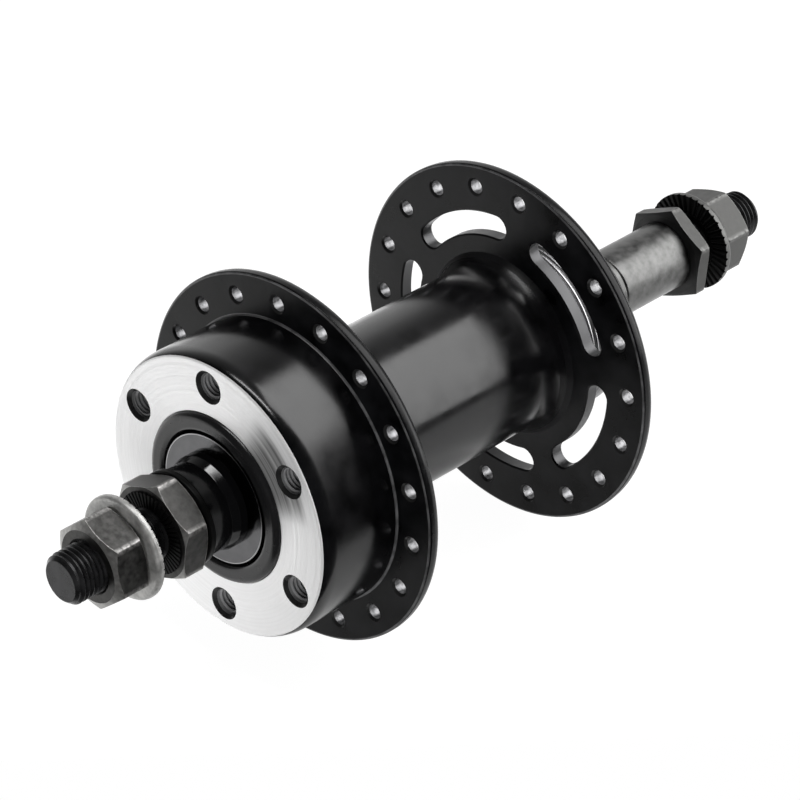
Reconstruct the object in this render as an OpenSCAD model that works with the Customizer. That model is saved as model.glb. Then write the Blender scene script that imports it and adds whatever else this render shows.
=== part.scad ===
// Rear wheel hub for a disc brake, with a bolt-on axle, loose-ball bearings and a threaded freewheel seat.
// The axle lies along Y: the brake rotor bolts on at the -Y side and the freewheel screws on at the +Y side.
// The origin is on the axle, midway between the two faces that the frame's dropouts are clamped against.
// Every piece is drawn along its own Z axis, from the disc side to the drive side, then laid on the axle.

/* [Axle] */
// Length over the locknut faces
over_locknut = 135; // [130:0.5:142]
// Overall length of the axle
axle_length = 175; // [170:0.5:190]
// Diameter over the axle's threads
axle_d = 9.525; // [9:0.025:10]
// Diameter of the plain middle of the axle
axle_waist_d = 8.8; // [7.8:0.1:8.9]
// Chamfer on the axle's ends
axle_chamfer = 0.8; // [0.3:0.1:1.2]
// Length of thread left inboard of each cone
thread_past_cone = 4; // [2:0.5:8]

/* [Axle nuts] */
// Axle nut width across flats
axle_nut_af = 15; // [14:0.1:17]
// Axle nut thickness
axle_nut_t = 7.2; // [5:0.1:9]
// Turn of the left axle nut's corners
left_nut_turn = 19.7; // [0:0.1:60]
// Turn of the right axle nut's corners
right_nut_turn = 43.3; // [0:0.1:60]
// Outer diameter of the toothed axle washers
axle_washer_d = 19.4; // [18:0.1:22]
// Thickness of the axle washers
axle_washer_t = 1.6; // [1.2:0.1:2.4]
// Play between an axle washer and the axle, on the radius
washer_play = 0.24; // [0.1:0.02:0.4]
// Space left open for the left dropout plate
left_dropout_gap = 5.1; // [4.4:0.1:6]
// Space left open for the right dropout plate
right_dropout_gap = 3.8; // [3:0.1:6]
// Teeth on each axle washer
washer_teeth = 40; // [24:1:44]
// Width of the groove between two washer teeth
washer_groove_w = 0.75; // [0.4:0.05:0.9]
// Depth of the grooves in the washers
washer_groove_h = 0.5; // [0.2:0.05:0.7]

/* [Locknuts] */
// Locknut width across flats
locknut_af = 17; // [16:0.1:18]
// Thickness of the left locknut
left_locknut_t = 5.8; // [4:0.1:7]
// Thickness of the right locknut
right_locknut_t = 3.2; // [2.5:0.1:5]
// Turn of the left locknut's corners
left_locknut_turn = 37.7; // [0:0.1:60]
// Turn of the right locknut's corners
right_locknut_turn = 35.1; // [0:0.1:60]
// Grooves cut in each locknut's dropout face
locknut_teeth = 48; // [24:1:52]
// Width of the groove between two locknut teeth
locknut_groove_w = 0.45; // [0.3:0.05:0.5]
// Depth of the grooves in the locknuts
locknut_groove_h = 0.35; // [0.2:0.05:0.5]
// Diameter of the toothed face on a locknut
locknut_face_d = 15.4; // [14.5:0.1:16]
// Depth of the recess round the toothed face
locknut_face_rise = 0.3; // [0.1:0.05:0.6]

/* [Washers and spacers] */
// Lock washer outer diameter
lock_washer_d = 18; // [17:0.1:19]
// Lock washer thickness
lock_washer_t = 1.4; // [1:0.1:2]
// Diameter of the spacers on the drive side
spacer_d = 13.4; // [12.5:0.1:15]
// Length of the short spacer
short_spacer_l = 3; // [1.5:0.1:5]
// Edge chamfer on the spacers
spacer_edge = 0.4; // [0.1:0.05:0.6]

/* [Rotor mount] */
// Width of the rim between the rotor bolt circle and the drum's outside
drum_rim = 5.2; // [4.6:0.1:6]
// Length of the drum, from the rotor face to the left flange
drum_length = 17; // [15:0.1:20]
// Rounding of the drum's front edge
drum_edge = 1.1; // [0.5:0.1:1.6]
// Rounding where the drum meets the flange
drum_foot = 0.5; // [0.3:0.1:0.8]
// Rotor bolt circle
rotor_pcd = 44; // [43.5:0.1:44.5]
// Number of rotor bolts
rotor_bolts = 6; // [3:1:6]
// Rotor bolt hole diameter
rotor_hole_d = 5; // [4:0.1:5.2]
// Depth of the rotor bolt holes
rotor_hole_depth = 11; // [8:0.5:13]
// Diameter of the countersink at the mouth of each rotor bolt hole
rotor_sink_d = 6.3; // [5.6:0.1:6.6]
// Angle of the first rotor bolt
rotor_turn = 27; // [0:1:60]

/* [Flanges] */
// Width of each flange outside its spoke hole circle
flange_rim = 4.375; // [3.5:0.125:5.5]
// Flange thickness
flange_t = 2.8; // [2.4:0.1:3.6]
// Width over the outer faces of the two flanges
flange_span = 57.2; // [50:0.1:62]
// Rounding of the flange rims
flange_edge = 0.7; // [0.3:0.1:1]
// Distance from the drum's outside to the spoke hole circle
spoke_clear = 3.675; // [3.2:0.025:5]
// Spoke holes in each flange
spoke_holes = 18; // [12:2:18]
// Spoke hole diameter
spoke_hole_d = 2.8; // [2.3:0.1:3]
// Diameter of the countersink on each spoke hole
spoke_sink_d = 3.6; // [3.3:0.1:3.9]
// Angle of the first spoke hole in the left flange
spoke_turn = 6.4; // [0:0.1:20]

/* [Flange slots] */
// Number of arc slots in the right flange
slots = 5; // [3:1:5]
// Distance from the outer edge of a slot to the spoke hole circle
slot_clear = 4.875; // [4.5:0.125:5.5]
// Width of the slots
slot_w = 4.5; // [3.5:0.1:5]
// Angle that a slot covers, end to end
slot_angle = 57.5; // [40:0.5:60]
// Angle of the first slot's middle
slot_turn = 26.2; // [0:0.1:72]

/* [Barrel] */
// Barrel diameter between the flanges
barrel_d = 32; // [30:0.1:34]
// Diameter to which the barrel flares at each flange
barrel_flare_d = 36; // [34.5:0.1:38]
// Length of each flare
barrel_flare_l = 6; // [3:0.1:8]
// Bore through the shell between the bearings
shell_bore_d = 22; // [19:0.1:23]

/* [Freewheel seat] */
// Diameter over the freewheel thread
seat_d = 34.8; // [34.6:0.1:35.4]
// Length of the seat, from the right flange to the shell's end
seat_length = 12.2; // [11:0.1:15]
// Chamfer on the end of the seat
seat_chamfer = 0.6; // [0.3:0.1:0.8]

/* [Bearings] */
// Ball diameter
ball_d = 6.35; // [6:0.01:6.35]
// Balls on each side
balls = 9; // [7:1:9]
// Diameter of the circle through the ball centres
ball_pcd = 19.24; // [19.24:0.02:19.6]
// Depth of the ball centres below each end face of the shell
ball_depth = 5; // [4.6:0.1:5.6]
// Running gap between a ball and its races
race_gap = 0.05; // [0.02:0.01:0.1]
// Diameter of the cup where the shell holds it
cup_d = 28.4; // [28:0.1:29]
// Thickness of the cup under the balls
cup_floor = 1.4; // [1:0.1:2]
// Hole in the cup's floor
cup_hole_d = 19.6; // [18:0.1:20.4]
// Diameter of the cup's rolled lip
cup_lip_d = 32.5; // [31:0.1:33.2]
// Thickness of the cup's lip
cup_lip_t = 1; // [0.7:0.1:1.4]
// Depth to which the lip is let into the shell's end face
cup_lip_sink = 0.3; // [0.1:0.05:0.6]
// Clearance round the lip, on the radius
cup_lip_gap = 0.05; // [0.02:0.01:0.1]
// Clearance of the cup in its pocket, on the radius
cup_seat_gap = 0.01; // [0.005:0.005:0.03]

/* [Cones] */
// Diameter of the cone's body
cone_d = 14.8; // [13.6:0.1:15.4]
// Diameter of the cone's shoulder behind the balls
cone_shoulder_d = 17.8; // [17:0.1:18.4]
// How far each cone stands out from the shell's end face
cone_stand = 8.1; // [6.5:0.1:10]
// Length of the cone's nose past the ball centres
cone_nose = 2.5; // [1.5:0.1:3.5]
// Width across the cone's spanner flats
cone_flats = 13; // [12.4:0.1:13.4]
// Length of the spanner flats
cone_flats_l = 3; // [2:0.1:4]
// Clearance of the threaded pieces on the axle, on the radius
thread_gap = 0.04; // [0.02:0.01:0.08]

/* [Seals] */
// Clearance between the dust shield and the cup's mouth, on the radius
shield_gap = 0.49; // [0.3:0.01:0.7]
// Thickness of the dust shield
shield_t = 0.8; // [0.5:0.1:1]
// Depth of the dust shield's turned-in rim
shield_rim = 1.6; // [1.2:0.1:1.8]
// How far the shield's face lies below the cup's lip
shield_sink = 0.3; // [0.1:0.1:0.5]
// Outer diameter of the rubber seal
seal_d = 17.3; // [16.4:0.1:18]
// Width of the foot of the seal that presses on the shield
seal_foot = 1.6; // [1:0.1:2.4]
// Depth of the groove round the seal
seal_groove = 0.5; // [0.2:0.1:0.8]
// Clearance of the seal and the shield on the cone, on the radius
seal_gap = 0.02; // [0.01:0.01:0.05]

/* [Hidden] */
$fn = 96;

// Cuts run this far past the surfaces they open
over = 1;
// Straight faces that clamp together on the axle keep this gap where one of them turns
face_gap = 0.05;
// Segments in a rounded corner
arc_steps = 6;
// Slope of the chamfer that takes the corners off a nut
nut_chamfer_angle = 28;
// How far the flat end of a nut lies inside its flats
nut_end_inset = 0.1;
// Room left outside the nut's corners so that the chamfer doesn't graze them
corner_room = 0.01;
// Chamfer at each end of a nut's bore
bore_chamfer = 0.4;
// How far the cutter of a toothed face stands above it
groove_over = 0.1;
// The grooves of an axle washer start at this share of its radius
washer_groove_start = 0.62;
// Edge chamfer on the cup's body
cup_edge = 0.4;
// Share of the lip's thickness that is rounded
lip_round = 0.7;
// Taper on the cone's nose
nose_taper = 0.5;
// Where the cone's shoulder starts to slope down and where it reaches the body
shoulder_edge = -0.9;
shoulder_foot = -0.3;
// Rounding of the dust shield's edge
shield_round = 0.4;
// How far the seal's foot stands out past its sleeve
foot_flare = 0.25;
// Rounding of the seal's foot
foot_round = 0.4;
// Share of the foot's width below its rounding
foot_low = 0.6;
// Chamfer on the seal's outer end
seal_end = 0.4;
// Turn at which the seal's foot runs into its sleeve
foot_turn = 60;
// The seal's groove is an arc of this many times its depth, centred this share outside the sleeve
groove_arc = 1.6;
groove_out = 0.6;

axle_r = axle_d / 2;
thread_r = axle_r + thread_gap;

// Stations along the axle, from the disc side to the drive side
left_stop = -over_locknut / 2;
right_stop = over_locknut / 2;
rotor_face = left_stop + left_locknut_t + lock_washer_t + cone_stand;
left_flange = rotor_face + drum_length;
right_flange = left_flange + flange_span;
seat_end = right_flange + seat_length;
right_cone_end = seat_end + cone_stand;
short_spacer_z = right_cone_end + lock_washer_t;
long_spacer_z = short_spacer_z + short_spacer_l;
right_locknut_z = right_stop - right_locknut_t;
left_washer_z = left_stop - left_dropout_gap - axle_washer_t;
right_washer_z = right_stop + right_dropout_gap;
left_nut_z = left_washer_z - face_gap - axle_nut_t;
right_nut_z = right_washer_z + axle_washer_t + face_gap;

// Bearing sizes, measured outward from an end face of the shell
ball_r = ball_d / 2;
race_r = ball_r + race_gap;
pitch_r = ball_pcd / 2;
mouth_r = pitch_r + race_r;
cup_depth = ball_depth + race_r + cup_floor;
cone_inner_end = -ball_depth - cone_nose;
shield_r = mouth_r - shield_gap;
shield_face = cup_lip_t - shield_sink;
cone_r = cone_d / 2;

// The rotor bolt circle sets the drum, the drum the spoke circle, and that the flanges and slots
drum_d = rotor_pcd + 2 * drum_rim;
spoke_pcd = drum_d + 2 * spoke_clear;
flange_d = spoke_pcd + 2 * flange_rim;
slot_r_in = spoke_pcd / 2 - slot_clear - slot_w;
// Angle between a spoke hole and the middle of the gap beside it
half_pitch = 180 / spoke_holes;
slot_mid_r = slot_r_in + slot_w / 2;
slot_end_angle = slot_angle / 2 - asin(slot_w / 2 / slot_mid_r);

// Points of a circular arc in the profile plane
function arc(cx, cy, r, a0, a1, n = arc_steps) =
    [for (i = [0:n]) let (a = a0 + (a1 - a0) * i / n) [cx + r * cos(a), cy + r * sin(a)]];

// Radius of the arc that rises by h over a length l and starts level
function flare_r(l, h) = (l * l + h * h) / (2 * h);

// Lays a piece that is drawn along Z on the axle, with Z towards the drive side
module on_axle() {
    rotate([-90, 0, 0]) children();
}

// Puts a bearing piece at the left end of the shell, with its outward side at -Y
module left_end() {
    on_axle() translate([0, 0, rotor_face]) mirror([0, 0, 1]) children();
}

// Puts a bearing piece at the right end of the shell, with its outward side at +Y
module right_end() {
    on_axle() translate([0, 0, seat_end]) children();
}

module polar(n, turn, r) {
    for (i = [0:n - 1]) rotate([0, 0, turn + i * 360 / n]) translate([r, 0, 0]) children();
}

// A round hole with a cone-shaped mouth that opens towards -Z at z = 0
module sunk_mouth(hole_d, sink_d) {
    rise = (sink_d - hole_d) / 2;
    translate([0, 0, -over]) cylinder(h = over + rise, r1 = sink_d / 2 + over, r2 = hole_d / 2);
}

// V-shaped grooves that run outward in the plane z = 0 and are cut down into -Z
module radial_grooves(n, r_in, r_out, w, h) {
    half_w = w / 2 * (h + groove_over) / h;
    for (i = [0:n - 1]) rotate([0, 0, i * 360 / n]) translate([r_in, 0, 0])
        rotate([90, 0, 90]) linear_extrude(height = r_out - r_in)
            polygon([[-half_w, groove_over], [0, -h], [half_w, groove_over]]);
}

module axle() {
    left_waist = rotor_face - cone_inner_end + thread_past_cone;
    right_waist = seat_end + cone_inner_end - thread_past_cone;
    half = axle_length / 2;
    step = (axle_d - axle_waist_d) / 2;
    color("#1c1c1e") on_axle() rotate_extrude() polygon([
        [0, -half], [axle_r - axle_chamfer, -half], [axle_r, -half + axle_chamfer],
        [axle_r, left_waist], [axle_waist_d / 2, left_waist + step],
        [axle_waist_d / 2, right_waist - step], [axle_r, right_waist],
        [axle_r, half - axle_chamfer], [axle_r - axle_chamfer, half], [0, half]
    ]);
}

// A hexagon with its corners chamfered at both ends and a chamfered bore
module hex_nut(af, t, bore_r, turn) {
    corner_r = af / 2 / cos(30);
    rim_r = af / 2 - nut_end_inset;
    outer_r = corner_r + corner_room;
    bevel = (outer_r - rim_r) * tan(nut_chamfer_angle);
    mouth_h = over + bore_chamfer;
    mouth_r = bore_r + mouth_h;
    difference() {
        intersection() {
            rotate([0, 0, turn]) cylinder(h = t, r = corner_r, $fn = 6);
            rotate_extrude() polygon([
                [0, 0], [rim_r, 0], [outer_r, bevel], [outer_r, t - bevel], [rim_r, t], [0, t]
            ]);
        }
        translate([0, 0, -over]) cylinder(h = t + 2 * over, r = bore_r);
        translate([0, 0, -over]) cylinder(h = mouth_h, r1 = mouth_r, r2 = bore_r);
        translate([0, 0, t - bore_chamfer]) cylinder(h = mouth_h, r1 = bore_r, r2 = mouth_r);
    }
}

// A locknut whose dropout face, at the top, is cut with grooves that bite into the frame
module locknut(t, turn) {
    difference() {
        hex_nut(locknut_af, t, thread_r, turn);
        translate([0, 0, t - locknut_face_rise]) difference() {
            cylinder(h = over, r = locknut_af);
            translate([0, 0, -over]) cylinder(h = 3 * over, r = locknut_face_d / 2);
        }
        translate([0, 0, t])
            radial_grooves(locknut_teeth, thread_r, locknut_af / 2, locknut_groove_w, locknut_groove_h);
    }
}

// A flat washer whose top face is cut with coarse radial grooves
module toothed_washer() {
    difference() {
        cylinder(h = axle_washer_t, d = axle_washer_d);
        translate([0, 0, -over]) cylinder(h = axle_washer_t + 2 * over, r = axle_r + washer_play);
        translate([0, 0, axle_washer_t])
            radial_grooves(washer_teeth, axle_washer_d / 2 * washer_groove_start,
                axle_washer_d / 2 + over, washer_groove_w, washer_groove_h);
    }
}

module plain_washer(d, t) {
    difference() {
        cylinder(h = t, d = d);
        translate([0, 0, -over]) cylinder(h = t + 2 * over, r = thread_r);
    }
}

// A tube over the axle with chamfered ends
module spacer(l) {
    r = spacer_d / 2;
    rotate_extrude() polygon([
        [thread_r, 0], [r - spacer_edge, 0], [r, spacer_edge],
        [r, l - spacer_edge], [r - spacer_edge, l], [thread_r, l]
    ]);
}

// Bearing cup: the pressed body, the ball track and the rolled lip that shows on the end face
module bearing_cup() {
    body_r = cup_d / 2 - cup_seat_gap;
    lip_r = cup_lip_d / 2;
    roll = cup_lip_t * lip_round;
    rotate_extrude() difference() {
        polygon(concat(
            [[cup_hole_d / 2, -cup_depth], [body_r - cup_edge, -cup_depth],
                [body_r, -cup_depth + cup_edge], [body_r, -cup_lip_sink], [lip_r, -cup_lip_sink]],
            arc(lip_r - roll, cup_lip_t - roll, roll, 0, 90),
            [[mouth_r, cup_lip_t], [mouth_r, -ball_depth], [cup_hole_d / 2, -ball_depth]]
        ));
        translate([pitch_r, -ball_depth]) circle(r = race_r);
    }
}

module ball_ring() {
    polar(balls, 0, pitch_r) translate([0, 0, -ball_depth]) sphere(r = ball_r, $fn = 32);
}

// Bearing cone: threaded on the axle, with the ball track on its shoulder and two spanner flats
module cone() {
    shoulder_r = cone_shoulder_d / 2;
    nose_r = pitch_r - race_r;
    difference() {
        rotate_extrude() difference() {
            polygon([
                [thread_r, cone_inner_end], [nose_r - nose_taper, cone_inner_end],
                [nose_r, -ball_depth], [shoulder_r, -ball_depth], [shoulder_r, shoulder_edge],
                [cone_r, shoulder_foot], [cone_r, cone_stand], [thread_r, cone_stand]
            ]);
            translate([pitch_r, -ball_depth]) circle(r = race_r);
        }
        for (s = [-1, 1]) translate([s * (cone_flats / 2 + cone_d / 2), 0, cone_stand])
            cube([cone_d, 2 * cone_d, 2 * cone_flats_l], center = true);
    }
}

// Pressed dust shield: a flat face with its rim turned in towards the balls
module dust_shield() {
    hole_r = cone_r + seal_gap;
    rotate_extrude() polygon(concat(
        [[hole_r, shield_face - shield_t], [hole_r, shield_face]],
        arc(shield_r - shield_round, shield_face - shield_round, shield_round, 90, 0),
        [[shield_r, shield_face - shield_rim], [shield_r - shield_t, shield_face - shield_rim],
            [shield_r - shield_t, shield_face - shield_t]]
    ));
}

// Rubber seal over the cone: a foot on the shield, a groove and a plain sleeve
module seal() {
    r = seal_d / 2;
    foot_r = r + foot_flare;
    bore_r = cone_r + seal_gap;
    foot_top = shield_face + seal_foot;
    arc_r = seal_groove * groove_arc;
    rotate_extrude() difference() {
        polygon(concat(
            [[bore_r, shield_face], [foot_r, shield_face]],
            arc(foot_r - foot_round, shield_face + seal_foot * foot_low, foot_round, 0, foot_turn, 3),
            [[r, foot_top], [r, cone_stand - seal_end], [r - seal_end, cone_stand], [bore_r, cone_stand]]
        ));
        translate([r + seal_groove * groove_out, foot_top + arc_r]) circle(r = arc_r);
    }
}

// The turned outline of the shell, as radius and station
function shell_outline() = let (
    drum_r = drum_d / 2,
    rim_r = flange_d / 2,
    e = flange_edge,
    barrel_r = barrel_d / 2,
    rise = (barrel_flare_d - barrel_d) / 2,
    fr = flare_r(barrel_flare_l, rise),
    sweep = asin(barrel_flare_l / fr),
    inner_left = left_flange + flange_t,
    inner_right = right_flange - flange_t
) concat(
    [[shell_bore_d / 2, rotor_face], [drum_r - drum_edge, rotor_face]],
    arc(drum_r - drum_edge, rotor_face + drum_edge, drum_edge, -90, 0),
    arc(drum_r + drum_foot, left_flange - drum_foot, drum_foot, 180, 90),
    arc(rim_r - e, left_flange + e, e, -90, 0),
    arc(rim_r - e, inner_left - e, e, 0, 90),
    arc(barrel_r + fr, inner_left + barrel_flare_l, fr, 180 + sweep, 180),
    arc(barrel_r + fr, inner_right - barrel_flare_l, fr, 180, 180 - sweep),
    arc(rim_r - e, inner_right + e, e, -90, 0),
    arc(rim_r - e, right_flange - e, e, 0, 90),
    [[seat_d / 2, right_flange], [seat_d / 2, seat_end - seat_chamfer],
        [seat_d / 2 - seat_chamfer, seat_end], [shell_bore_d / 2, seat_end]]
);

// One arc slot with round ends, cut through a plate between z0 and z1
module arc_slot(z0, z1) {
    h = z1 - z0;
    a = slot_end_angle;
    translate([0, 0, z0]) {
        rotate([0, 0, -a]) rotate_extrude(angle = 2 * a) translate([slot_r_in, 0]) square([slot_w, h]);
        for (s = [-a, a]) rotate([0, 0, s]) translate([slot_mid_r, 0, 0]) cylinder(h = h, d = slot_w);
    }
}

// Spoke holes through one flange, countersunk on both faces
module spoke_drilling(face, turn) {
    polar(spoke_holes, turn, spoke_pcd / 2) translate([0, 0, face]) {
        translate([0, 0, -over]) cylinder(h = flange_t + 2 * over, d = spoke_hole_d, $fn = 24);
        sunk_mouth(spoke_hole_d, spoke_sink_d, $fn = 24);
        translate([0, 0, flange_t]) mirror([0, 0, 1]) sunk_mouth(spoke_hole_d, spoke_sink_d, $fn = 24);
    }
}

module rotor_drilling() {
    polar(rotor_bolts, rotor_turn, rotor_pcd / 2) translate([0, 0, rotor_face]) {
        translate([0, 0, -over]) cylinder(h = rotor_hole_depth + over, d = rotor_hole_d, $fn = 32);
        sunk_mouth(rotor_hole_d, rotor_sink_d, $fn = 32);
    }
}

module hub_shell() {
    pocket_r = cup_d / 2;
    lip_pocket_r = cup_lip_d / 2 + cup_lip_gap;
    color("#101011") on_axle() difference() {
        rotate_extrude() polygon(shell_outline());
        translate([0, 0, rotor_face - over]) cylinder(h = cup_depth + over, r = pocket_r);
        translate([0, 0, seat_end - cup_depth]) cylinder(h = cup_depth + over, r = pocket_r);
        translate([0, 0, rotor_face - over]) cylinder(h = cup_lip_sink + over, r = lip_pocket_r);
        translate([0, 0, seat_end - cup_lip_sink]) cylinder(h = cup_lip_sink + over, r = lip_pocket_r);
        rotor_drilling();
        spoke_drilling(left_flange, spoke_turn);
        spoke_drilling(right_flange - flange_t, spoke_turn + half_pitch);
        for (i = [0:slots - 1]) rotate([0, 0, slot_turn + i * 360 / slots])
            arc_slot(right_flange - flange_t - over, right_flange + over);
    }
}

module left_bearing_cup() color("#161617") left_end() bearing_cup();
module left_balls() color("#d8d8da") left_end() ball_ring();
module left_cone() color("#4a4a4c") left_end() cone();
module left_dust_shield() color("#8c8c8e") left_end() dust_shield();
module left_seal() color("#0c0c0d") left_end() seal();
module left_lock_washer() {
    color("#3a3a3b") left_end() translate([0, 0, cone_stand]) plain_washer(lock_washer_d, lock_washer_t);
}
module left_locknut() {
    color("#5a5855") on_axle() translate([0, 0, left_stop + left_locknut_t]) mirror([0, 0, 1])
        locknut(left_locknut_t, left_locknut_turn);
}
module left_axle_washer() color("#b8b6b2") on_axle() translate([0, 0, left_washer_z]) toothed_washer();
module left_axle_nut() {
    color("#5a5855") on_axle() translate([0, 0, left_nut_z])
        hex_nut(axle_nut_af, axle_nut_t, thread_r, left_nut_turn);
}

module right_bearing_cup() color("#161617") right_end() bearing_cup();
module right_balls() color("#d8d8da") right_end() ball_ring();
module right_cone() color("#4a4a4c") right_end() cone();
module right_dust_shield() color("#8c8c8e") right_end() dust_shield();
module right_seal() color("#0c0c0d") right_end() seal();
module right_lock_washer() {
    color("#3a3a3b") right_end() translate([0, 0, cone_stand]) plain_washer(lock_washer_d, lock_washer_t);
}
module right_short_spacer() {
    color("#8a8987") on_axle() translate([0, 0, short_spacer_z]) spacer(short_spacer_l);
}
module right_long_spacer() {
    color("#c2c2c0") on_axle() translate([0, 0, long_spacer_z]) spacer(right_locknut_z - long_spacer_z);
}
module right_locknut() {
    color("#8f8e8a") on_axle() translate([0, 0, right_locknut_z])
        locknut(right_locknut_t, right_locknut_turn);
}
module right_axle_washer() {
    color("#3d3c3a") on_axle() translate([0, 0, right_washer_z + axle_washer_t]) mirror([0, 0, 1])
        toothed_washer();
}
module right_axle_nut() {
    color("#8f8e8a") on_axle() translate([0, 0, right_nut_z])
        hex_nut(axle_nut_af, axle_nut_t, thread_r, right_nut_turn);
}

axle();
hub_shell();
left_bearing_cup();
left_balls();
left_cone();
left_dust_shield();
left_seal();
left_lock_washer();
left_locknut();
left_axle_washer();
left_axle_nut();
right_bearing_cup();
right_balls();
right_cone();
right_dust_shield();
right_seal();
right_lock_washer();
right_short_spacer();
right_long_spacer();
right_locknut();
right_axle_washer();
right_axle_nut();
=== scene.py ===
import math
import bmesh
import bpy
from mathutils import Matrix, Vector


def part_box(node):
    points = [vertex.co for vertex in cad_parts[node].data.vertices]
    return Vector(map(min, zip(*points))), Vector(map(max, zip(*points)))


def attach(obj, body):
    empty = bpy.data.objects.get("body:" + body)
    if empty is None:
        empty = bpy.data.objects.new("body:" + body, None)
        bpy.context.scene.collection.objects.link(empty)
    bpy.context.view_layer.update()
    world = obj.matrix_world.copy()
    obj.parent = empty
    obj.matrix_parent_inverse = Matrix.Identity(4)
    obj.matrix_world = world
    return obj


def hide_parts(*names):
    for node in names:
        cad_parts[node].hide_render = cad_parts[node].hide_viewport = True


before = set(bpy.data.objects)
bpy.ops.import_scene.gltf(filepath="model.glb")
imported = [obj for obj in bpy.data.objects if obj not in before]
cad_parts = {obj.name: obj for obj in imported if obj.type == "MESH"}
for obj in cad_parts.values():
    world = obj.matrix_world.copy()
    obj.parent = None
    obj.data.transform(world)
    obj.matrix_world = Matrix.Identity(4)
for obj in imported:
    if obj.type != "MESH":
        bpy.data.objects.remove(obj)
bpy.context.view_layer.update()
mm = 0.001  # sizes are in mm and turns in degrees, unless a note says otherwise
inch = 25.4
print("frame loaded:", len(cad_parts), "nodes")

cameraView = {
    "azimuth": 44.99, "elevation": 32.83,  # degrees, from the front left of the hub
    "distance": 666.9, "target": (-2.42, -4.86, -2.67),  # mm
    "lens": 165.6,  # mm
    "clip": (0.05, 20),  # m
}


def addObject(name, data):
    made = bpy.data.objects.new(name, data)
    bpy.context.collection.objects.link(made)
    return made


def viewBack(azimuth, elevation):
    # the direction from the hub to the camera
    turn, rise = math.radians(azimuth), math.radians(elevation)
    return Vector((math.sin(turn) * math.cos(rise), -math.cos(turn) * math.cos(rise), math.sin(rise)))


back = viewBack(cameraView["azimuth"], cameraView["elevation"])
cameraData = bpy.data.cameras.new("camera")
cameraData.lens = cameraView["lens"]
cameraData.clip_start, cameraData.clip_end = cameraView["clip"]
camera = addObject("camera", cameraData)
camera.location = (Vector(cameraView["target"]) + back * cameraView["distance"]) * mm
camera.rotation_mode = "QUATERNION"
camera.rotation_quaternion = (-back).to_track_quat("-Z", "Y")
bpy.context.scene.camera = camera
print("camera placed")

# The studio: a white floor that ends in front of the hub, a white wall far behind it, a long softbox
# behind and above the right-hand end, a strip overhead and a soft fill on the left end.
studio = {
    "floorHeight": -35.25, "floorFront": 61.0, "floorReach": 3000.0,  # mm
    "floorSlant": 0.06, "floorWhite": 0.8,
    "floorGlowFrom": (34.0, -10.0), "floorGlow": (0.04, 0.60),  # places along X in mm, and the glow there, a painted light for reflections and bounce that fades towards +X
    "cameraGlow": 0.97, "cameraWhite": 0.12,
    # how far a direction looks towards the wall, and how bright it is for all rays but the camera's
    "wallBands": ((-1.0, 0.02), (0.3, 0.03), (0.55, 0.22), (0.7, 0.34), (0.84, 0.66), (0.9, 1.0), (1.0, 1.0)),
}
# a lamp shines along its own -Z, so facing points away from the hub
softboxes = {
    "backBox": {"place": (216.5, 328.0, 308.0), "facing": (0.506, 0.595, 0.625),
                "along": (-0.509, -0.377, 0.774),
                "long": 850.0, "wide": 330.0, "level": 4.4, "mirrored": True},
    "topBox": {"place": (-30.0, -100.0, 650.0), "facing": (-0.03, -0.15, 0.99), "along": (1.0, 0.0, 0.0),
               "long": 420.0, "wide": 60.0, "level": 16.0, "mirrored": True},
    "fill": {"place": (360.0, -470.0, 20.0), "facing": (0.61, -0.79, 0.03), "along": (0.0, 0.0, 1.0),
             "long": 400.0, "wide": 400.0, "level": 5.6, "mirrored": False},
}
towardsWall = Vector((-1, 1, 0)).normalized()


def link(tree, fromSocket, toSocket):
    tree.links.new(fromSocket, toSocket)


def treeNode(tree, kind, **settings):
    made = tree.nodes.new(kind)
    for key, value in settings.items():
        setattr(made, key, value)
    return made


def shaderNode(tree, kind, **settings):
    return treeNode(tree, "ShaderNode" + kind, **settings)


def mathNode(tree, operation, *values):
    # arithmetic on sockets and numbers
    made = shaderNode(tree, "Math", operation=operation)
    for index, value in enumerate(values):
        if isinstance(value, (int, float)):
            made.inputs[index].default_value = value
        else:
            link(tree, value, made.inputs[index])
    return made.outputs[0]


def ranged(tree, value, fromSpan, toSpan=(0, 1), curve="LINEAR"):
    # the value, carried over from one span to another
    made = shaderNode(tree, "MapRange", interpolation_type=curve)
    for label, old, new in zip(("Min", "Max"), fromSpan, toSpan):
        made.inputs["From " + label].default_value = old
        made.inputs["To " + label].default_value = new
    link(tree, value, made.inputs["Value"])
    return made.outputs["Result"]


def splitByCamera(tree, others, seen, out):
    # one shader for what the camera sees, another for light and reflections
    ray = shaderNode(tree, "LightPath")
    pick = shaderNode(tree, "MixShader")
    link(tree, ray.outputs["Is Camera Ray"], pick.inputs["Fac"])
    link(tree, others, pick.inputs[1])
    link(tree, seen, pick.inputs[2])
    link(tree, pick.outputs[0], out.inputs["Surface"])


def glowingPaper(tree, white):
    glow = shaderNode(tree, "Emission")
    matt = shaderNode(tree, "BsdfDiffuse")
    matt.inputs["Color"].default_value = (white,) * 3 + (1,)
    both = shaderNode(tree, "AddShader")
    link(tree, glow.outputs[0], both.inputs[0])
    link(tree, matt.outputs[0], both.inputs[1])
    return both.outputs[0], glow.inputs["Strength"]


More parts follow.
